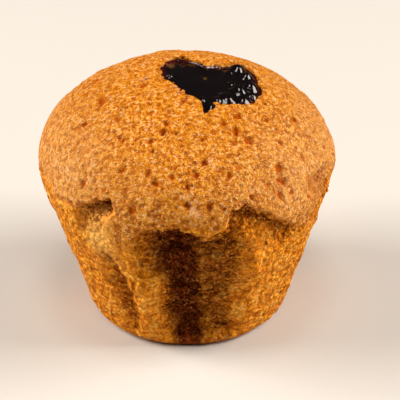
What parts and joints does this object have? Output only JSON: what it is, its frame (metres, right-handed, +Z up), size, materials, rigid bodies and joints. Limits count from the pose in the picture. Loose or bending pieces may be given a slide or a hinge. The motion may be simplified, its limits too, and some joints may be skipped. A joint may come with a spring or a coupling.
{
  "type": "muffin",
  "caption": "Baked muffin with a domed, slightly lopsided crown that overhangs a tapered crumbly skirt, and dark berry jam filling a torn pocket in the top.",
  "frame": {"origin": "middle of the underside, on the surface the muffin stands on", "axes": "+Z up through the crown, -Y towards the front with the deep hollow under the crown, +X to the side where the jam lies"},
  "size_m": [0.0779, 0.0779, 0.0692],
  "materials": {
    "crust_and_crumb": "matte",
    "berry_jam": "gloss"
  },
  "bodies": {
    "root": {"sponge": "crust_and_crumb", "jam": "berry_jam"}
  },
  "joints": []
}
